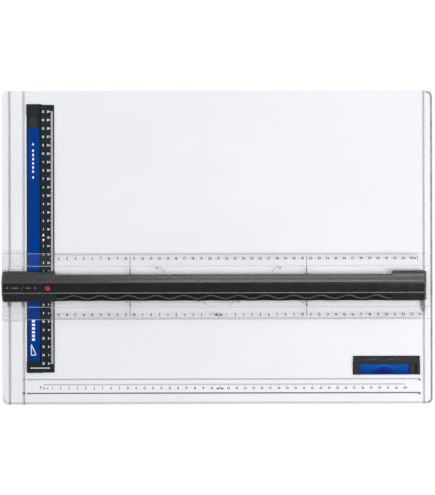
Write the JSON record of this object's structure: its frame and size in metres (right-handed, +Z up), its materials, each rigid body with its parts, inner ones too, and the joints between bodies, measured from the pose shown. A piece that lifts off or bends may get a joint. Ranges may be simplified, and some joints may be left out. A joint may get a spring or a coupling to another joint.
{
  "type": "drawing board with parallel rule",
  "caption": "White drawing board with edge grooves, a clear sliding parallel rule with a dark grip handle, a side clamp bar and a corner clamp.",
  "frame": {"origin": "on the table, at the middle of the board's footprint, where the middle foot stands", "axes": "+X to the right along the rule, +Y away from the user along the guide grooves, +Z up"},
  "size_m": [0.5144, 0.375, 0.036],
  "materials": {
    "board_plastic": "smooth white moulded plastic with a very fine eggshell grain",
    "cover_plastic": "light grey moulded plastic, fine spark-eroded texture",
    "foot_rubber": "dark non-slip rubber",
    "screw_steel": "zinc-plated steel screws",
    "keeper_steel": "plain steel strip",
    "spring_steel": "spring steel",
    "ramp_plastic": "low-friction acetal",
    "clamp_black": "near-black moulded plastic, satin, with white printed marks",
    "clamp_blue": "deep blue moulded plastic",
    "magnet_dark": "dark sintered magnet",
    "clear_plastic": "clear polished plastic, faint green tint, with black printed scales",
    "runner_grey": "grey low-friction plastic",
    "rail_aluminium": "extruded aluminium",
    "handle_anthracite": "anthracite moulded plastic, satin",
    "grip_anthracite": "anthracite grip with shallow finger waves",
    "button_red": "glossy red plastic",
    "brake_rubber": "brown brake rubber"
  },
  "bodies": {
    "board": {"drawing_plate": "board_plastic", "back_cover": "cover_plastic", "rubber_feet": "foot_rubber", "cover_screws": "screw_steel", "clamp_keeper_strip": "keeper_steel", "clamp_ramps": "ramp_plastic", "corner_keeper_plate": "keeper_steel", "corner_ramps": "ramp_plastic"},
    "clamp_bar": {"clamp_bar_frame": "clamp_black", "clamp_magnets": "magnet_dark", "clamp_grip_strip": "foot_rubber"},
    "clamp_slider": {"clamp_slider": "clamp_blue"},
    "corner_clamp": {"corner_clamp_frame": "clamp_black", "corner_magnet": "magnet_dark", "corner_grip_pad": "foot_rubber"},
    "corner_slider": {"corner_slider": "clamp_blue"},
    "rule": {"blade": "clear_plastic", "head_plate": "clear_plastic", "left_guide_shoe": "runner_grey", "right_guide_shoe": "runner_grey", "carriage_rail": "rail_aluminium", "rail_screws": "screw_steel", "shoe_screws": "screw_steel", "guide_spring": "spring_steel", "brake_spring": "spring_steel", "detent_spring": "spring_steel"},
    "handle": {"handle_cover": "handle_anthracite", "finger_grip": "grip_anthracite", "slide_blocks": "ramp_plastic", "handle_screws": "screw_steel", "brake_cam": "ramp_plastic", "button_bezel": "grip_anthracite", "button_spring": "spring_steel"},
    "lock_button": {"lock_button": "button_red"},
    "brake": {"brake_shoe": "grip_anthracite", "brake_pad": "brake_rubber"}
  },
  "joints": [
    {"name": "rule_slide", "type": "slide", "parent": "board", "child": "rule", "axis": [0, 1, 0], "range_m": [-0.094, 0.188]},
    {"name": "handle_shift", "type": "slide", "parent": "rule", "child": "handle", "axis": [1, 0, 0], "range_m": [0, 0.004]},
    {"name": "brake_lift", "type": "slide", "parent": "rule", "child": "brake", "axis": [0, 0, 1], "range_m": [0, 0.0008]},
    {"name": "button_press", "type": "slide", "parent": "handle", "child": "lock_button", "axis": [0, 0, -1], "range_m": [0, 0.0015], "stiffness_N_per_m": 300, "springref_m": -0.002, "deforming": ["button_spring"]},
    {"name": "clamp_slide", "type": "slide", "parent": "clamp_bar", "child": "clamp_slider", "axis": [0, 1, 0], "range_m": [0, 0.0142]},
    {"name": "clamp_lift", "type": "slide", "parent": "board", "child": "clamp_bar", "axis": [0, 0, 1], "range_m": [0, 0.0012]},
    {"name": "corner_slide", "type": "slide", "parent": "corner_clamp", "child": "corner_slider", "axis": [1, 0, 0], "range_m": [0, 0.0075]},
    {"name": "corner_lift", "type": "slide", "parent": "board", "child": "corner_clamp", "axis": [0, 0, 1], "range_m": [0, 0.0012]}
  ],
  "couplings": [
    {"joint": "brake_lift", "follows": "handle_shift", "ratio": 0.2},
    {"joint": "clamp_lift", "follows": "clamp_slide", "ratio": 0.084507},
    {"joint": "corner_lift", "follows": "corner_slide", "ratio": 0.16}
  ]
}
